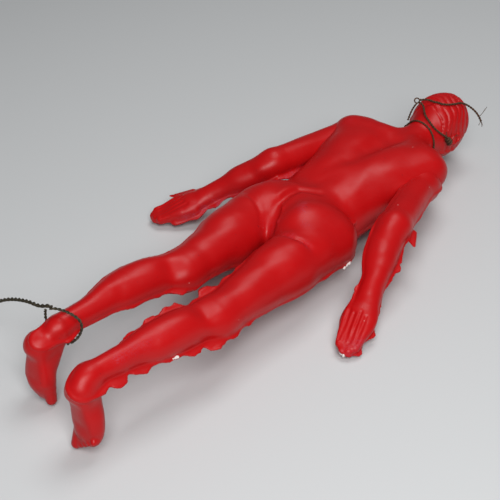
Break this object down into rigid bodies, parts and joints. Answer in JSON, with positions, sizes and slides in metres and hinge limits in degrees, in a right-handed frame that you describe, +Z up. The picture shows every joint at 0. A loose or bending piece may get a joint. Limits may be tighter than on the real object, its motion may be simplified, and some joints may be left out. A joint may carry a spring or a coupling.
{
  "type": "bendable grappling figure",
  "caption": "Prone one-fifth scale practice figure: red moulded skin over foam on a bendable wire armature, with rigging wires at neck and ankle.",
  "frame": {"origin": "on the table under the middle of the figure, which lies on its chest", "axes": "+X along the body to the head, +Y to the figure's left, +Z up out of its back"},
  "size_m": [0.364, 0.187, 0.0546],
  "materials": {
    "red_skin": "satin moulded skin with mould flash",
    "white_foam": "open foam",
    "armature": "drawn wire",
    "neck_wire": "rusty braided picture wire",
    "ankle_wire": "dull annealed iron wire"
  },
  "bodies": {
    "torso": {"torso_back_skin": "red_skin", "torso_front_skin": "red_skin", "torso_foam_core": "white_foam", "torso_armature": "armature", "neck_flex_sleeve": "red_skin", "shoulder_flex_sleeve_left": "red_skin", "shoulder_flex_sleeve_right": "red_skin", "hip_flex_sleeve_left": "red_skin", "hip_flex_sleeve_right": "red_skin"},
    "head": {"head_back_skin": "red_skin", "head_front_skin": "red_skin", "head_foam_core": "white_foam", "head_armature": "armature", "neck_wire_loop": "neck_wire", "neck_wire_lead": "neck_wire", "hanging_eye": "neck_wire", "neck_wire_long": "neck_wire", "neck_wire_frayed_end": "neck_wire", "neck_wire_short": "neck_wire", "neck_wire_knot": "neck_wire"},
    "upper_arm_left": {"upper_arm_left_back_skin": "red_skin", "upper_arm_left_front_skin": "red_skin", "upper_arm_left_foam_core": "white_foam", "upper_arm_left_armature": "armature", "elbow_flex_sleeve_left": "red_skin"},
    "forearm_left": {"forearm_left_back_skin": "red_skin", "forearm_left_front_skin": "red_skin", "forearm_left_foam_core": "white_foam", "forearm_left_armature": "armature"},
    "thigh_left": {"thigh_left_back_skin": "red_skin", "thigh_left_front_skin": "red_skin", "thigh_left_foam_core": "white_foam", "thigh_left_armature": "armature", "knee_flex_sleeve_left": "red_skin"},
    "shin_left": {"shin_left_back_skin": "red_skin", "shin_left_front_skin": "red_skin", "shin_left_foam_core": "white_foam", "shin_left_armature": "armature", "ankle_wire_loop": "ankle_wire", "ankle_wire_tail": "ankle_wire"},
    "upper_arm_right": {"upper_arm_right_back_skin": "red_skin", "upper_arm_right_front_skin": "red_skin", "upper_arm_right_foam_core": "white_foam", "upper_arm_right_armature": "armature", "elbow_flex_sleeve_right": "red_skin"},
    "forearm_right": {"forearm_right_back_skin": "red_skin", "forearm_right_front_skin": "red_skin", "forearm_right_foam_core": "white_foam", "forearm_right_armature": "armature"},
    "thigh_right": {"thigh_right_back_skin": "red_skin", "thigh_right_front_skin": "red_skin", "thigh_right_foam_core": "white_foam", "thigh_right_armature": "armature", "knee_flex_sleeve_right": "red_skin"},
    "shin_right": {"shin_right_back_skin": "red_skin", "shin_right_front_skin": "red_skin", "shin_right_foam_core": "white_foam", "shin_right_armature": "armature"}
  },
  "joints": [
    {"name": "neck_lift", "type": "hinge", "parent": "torso", "child": "head", "pos_m": [0.1258, -0.002, 0.027], "axis": [0, -1, 0], "range_deg": [-6, 30], "deforming": ["neck_flex_sleeve"]},
    {"name": "shoulder_left_spread", "type": "hinge", "parent": "torso", "child": "upper_arm_left", "pos_m": [0.1048, 0.0348, 0.03], "axis": [0, 0, -1], "range_deg": [0, 60], "deforming": ["shoulder_flex_sleeve_left"]},
    {"name": "elbow_left_bend", "type": "hinge", "parent": "upper_arm_left", "child": "forearm_left", "pos_m": [0.0468, 0.0423, 0.034], "axis": [0, 0, -1], "range_deg": [0, 42], "deforming": ["elbow_flex_sleeve_left"]},
    {"name": "hip_left_spread", "type": "hinge", "parent": "torso", "child": "thigh_left", "pos_m": [-0.0062, 0.0133, 0.027], "axis": [0, 0, -1], "range_deg": [0, 25], "deforming": ["hip_flex_sleeve_left"]},
    {"name": "knee_left_bend", "type": "hinge", "parent": "thigh_left", "child": "shin_left", "pos_m": [-0.0682, -0.0022, 0.037], "axis": [0.105, 0.9945, 0], "range_deg": [0, 65], "deforming": ["knee_flex_sleeve_left"]},
    {"name": "shoulder_right_spread", "type": "hinge", "parent": "torso", "child": "upper_arm_right", "pos_m": [0.1013, -0.0387, 0.03], "axis": [0, 0, 1], "range_deg": [0, 60], "deforming": ["shoulder_flex_sleeve_right"]},
    {"name": "elbow_right_bend", "type": "hinge", "parent": "upper_arm_right", "child": "forearm_right", "pos_m": [0.0428, -0.0577, 0.035], "axis": [0, 0, 1], "range_deg": [0, 65], "deforming": ["elbow_flex_sleeve_right"]},
    {"name": "hip_right_spread", "type": "hinge", "parent": "torso", "child": "thigh_right", "pos_m": [0.0018, -0.0297, 0.027], "axis": [0, 0, 1], "range_deg": [0, 25], "deforming": ["hip_flex_sleeve_right"]},
    {"name": "knee_right_bend", "type": "hinge", "parent": "thigh_right", "child": "shin_right", "pos_m": [-0.0832, -0.0412, 0.036], "axis": [0.051, 0.9987, 0], "range_deg": [0, 65], "deforming": ["knee_flex_sleeve_right"]}
  ]
}
